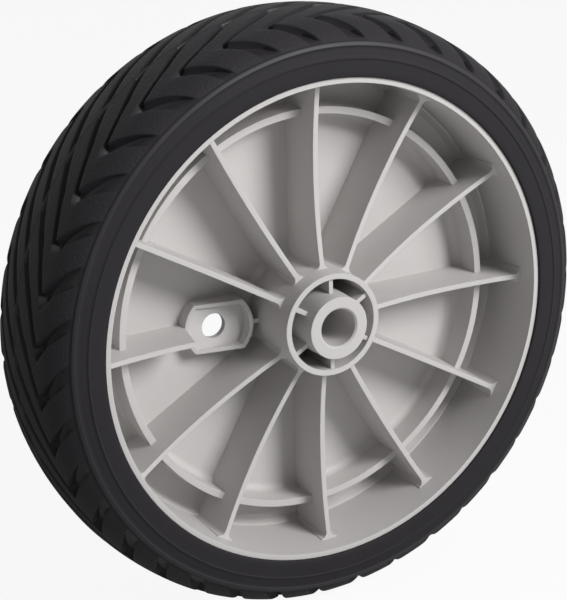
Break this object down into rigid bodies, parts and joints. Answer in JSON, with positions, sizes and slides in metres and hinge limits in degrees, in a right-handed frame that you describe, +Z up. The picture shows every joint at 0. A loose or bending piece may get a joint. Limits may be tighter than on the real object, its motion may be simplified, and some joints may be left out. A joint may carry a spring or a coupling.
{
  "type": "wheel",
  "caption": "Moulded plastic wheel with a ribbed dished face, raised ring, central axle bore, offset drive pocket and chevron-tread rubber tyre.",
  "frame": {"origin": "centre of the wheel, on the axle's axis midway between the two lips of the rim", "axes": "+Y along the axle towards the back of the wheel, so that the ribbed face of the picture looks to -Y; +X to the right of that face; +Z up"},
  "size_m": [0.203, 0.055, 0.203],
  "materials": {
    "grey_plastic": "smooth moulded, slightly satin",
    "black_rubber": "matt, stippled blocks with smooth grooves"
  },
  "bodies": {
    "root": {"wheel_body": "grey_plastic", "tyre": "black_rubber"}
  },
  "joints": []
}
